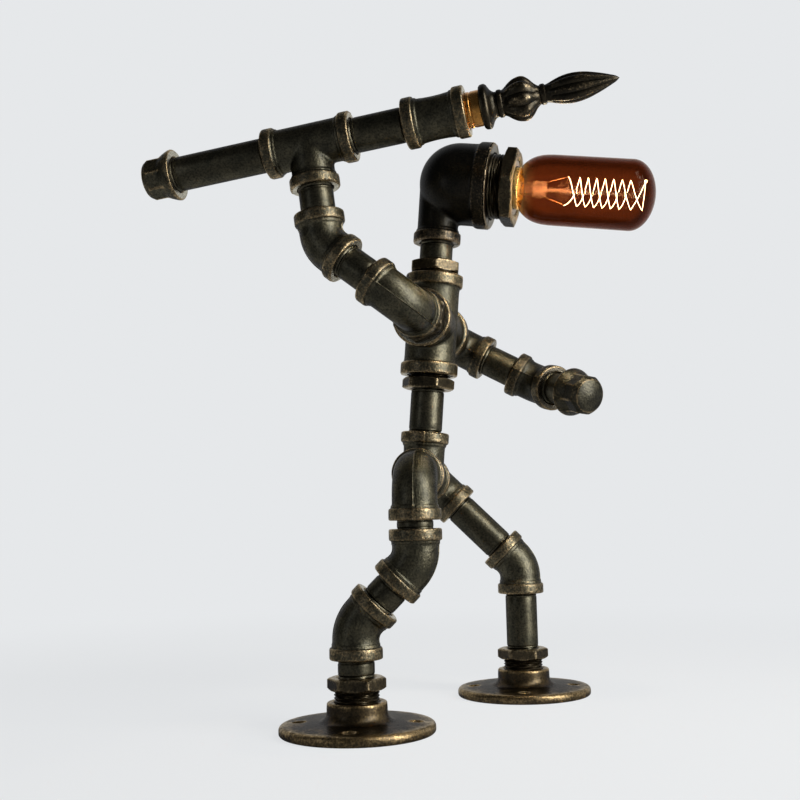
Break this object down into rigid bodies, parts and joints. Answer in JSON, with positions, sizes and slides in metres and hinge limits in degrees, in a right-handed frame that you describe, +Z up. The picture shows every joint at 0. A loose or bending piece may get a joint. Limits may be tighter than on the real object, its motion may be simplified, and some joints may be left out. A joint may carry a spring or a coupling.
{
  "type": "pipe robot desk lamp",
  "caption": "Desk lamp in the shape of a striding robot made of iron pipe fittings, with a launcher on its shoulder and a tubular filament bulb for a face.",
  "frame": {"origin": "on the plane of the soles, under the middle of the lamp's length", "axes": "+X forwards, where the bulb points; +Y to the figure's left; +Z up"},
  "size_m": [0.3211, 0.226, 0.3768],
  "materials": {
    "iron": "dark oil-rubbed bronze lacquer over pebbled castings, edges rubbed brown",
    "flange": "dark oil-rubbed bronze lacquer, rim and hub rubbed golden brown",
    "rubbed": "dark bronze lacquer, machined flats rubbed golden brown",
    "pipe": "smooth satin black-brown lacquer on steel pipe",
    "finial": "dark antique bronze, ridges rubbed brown",
    "brass": "turned, lightly aged",
    "phenolic": "moulded phenolic",
    "black_glass": "fused black glass",
    "amber_glass": "amber tinted, clear",
    "clear_glass": "clear",
    "filament": "glowing spiral wire"
  },
  "bodies": {
    "stand": {"right_foot_flange": "flange", "right_foot_bushing": "rubbed", "right_shin_nipple": "pipe", "right_ankle_elbow": "iron", "right_calf_nipple": "pipe", "right_knee_elbow": "iron", "right_thigh_nipple": "pipe", "right_hip_elbow": "iron", "right_hip_nipple": "pipe", "left_hip_nipple": "pipe", "left_hip_elbow": "iron", "left_thigh_pipe": "pipe", "left_knee_elbow": "iron", "left_shin_pipe": "pipe", "left_foot_bushing": "rubbed", "left_foot_flange": "flange"},
    "waist": {"hip_tee": "iron", "waist_pipe": "pipe"},
    "chest": {"waist_bushing": "rubbed", "chest_cross": "iron", "neck_bushing": "rubbed", "neck_nipple": "pipe", "right_shoulder_bushing": "rubbed", "right_shoulder_nipple": "pipe", "left_shoulder_bushing": "rubbed", "left_shoulder_nipple": "pipe"},
    "head": {"head_elbow": "iron", "head_bushing": "rubbed", "lamp_holder": "phenolic", "holder_shell": "brass", "holder_contact": "brass"},
    "bulb": {"bulb_cap": "brass", "bulb_insulator": "black_glass", "bulb_glass": "amber_glass", "bulb_stem": "clear_glass", "bulb_filament": "filament"},
    "right_arm": {"right_shoulder_elbow": "iron", "right_arm_nipple": "pipe"},
    "right_forearm": {"right_forearm_elbow": "iron", "right_wrist_nipple": "pipe"},
    "launcher": {"launcher_tee": "iron", "launcher_rear_pipe": "pipe", "launcher_rear_cap": "iron", "launcher_front_pipe": "pipe", "launcher_coupling": "iron", "launcher_adapter": "brass", "spear_finial": "finial"},
    "left_arm": {"left_shoulder_elbow": "iron", "left_arm_nipple": "pipe"},
    "left_forearm": {"left_forearm_elbow": "iron", "left_wrist_nipple": "pipe", "left_hand_cap": "iron"}
  },
  "joints": [
    {"name": "body_lean", "type": "hinge", "parent": "stand", "child": "waist", "pos_m": [0.00729, 0, 0.14802], "axis": [0, 1, 0], "range_deg": [-15, 25]},
    {"name": "waist_turn", "type": "hinge", "parent": "waist", "child": "chest", "pos_m": [0.01582, 0, 0.24545], "axis": [0.0872, 0, 0.9962], "range_deg": [-30, 30]},
    {"name": "head_turn", "type": "hinge", "parent": "chest", "child": "head", "pos_m": [0.02408, 0, 0.33989], "axis": [0.0872, 0, 0.9962], "range_deg": [-10, 40]},
    {"name": "bulb_out", "type": "slide", "parent": "head", "child": "bulb", "axis": [0.978, -0.1388, -0.1556], "range_m": [0, 0.027]},
    {"name": "right_shoulder_turn", "type": "hinge", "parent": "chest", "child": "right_arm", "pos_m": [0.00611, -0.06932, 0.2463], "axis": [0.1386, 0.9903, -0.0121], "range_deg": [-30, 10]},
    {"name": "right_elbow_turn", "type": "hinge", "parent": "right_arm", "child": "right_forearm", "pos_m": [-0.04501, -0.06166, 0.28734], "axis": [-0.7745, 0.1161, 0.6218], "range_deg": [-60, 5]},
    {"name": "launcher_turn", "type": "hinge", "parent": "right_forearm", "child": "launcher", "pos_m": [-0.05197, -0.05992, 0.34952], "axis": [-0.1113, 0.0277, 0.9934], "range_deg": [-60, 5]},
    {"name": "left_shoulder_turn", "type": "hinge", "parent": "chest", "child": "left_arm", "pos_m": [0.02552, 0.06932, 0.2446], "axis": [0.1386, 0.9903, -0.0121], "range_deg": [-30, 15]},
    {"name": "left_elbow_turn", "type": "hinge", "parent": "left_arm", "child": "left_forearm", "pos_m": [0.08474, 0.06062, 0.21149], "axis": [0.8658, -0.1271, -0.484], "range_deg": [-60, 40]}
  ]
}
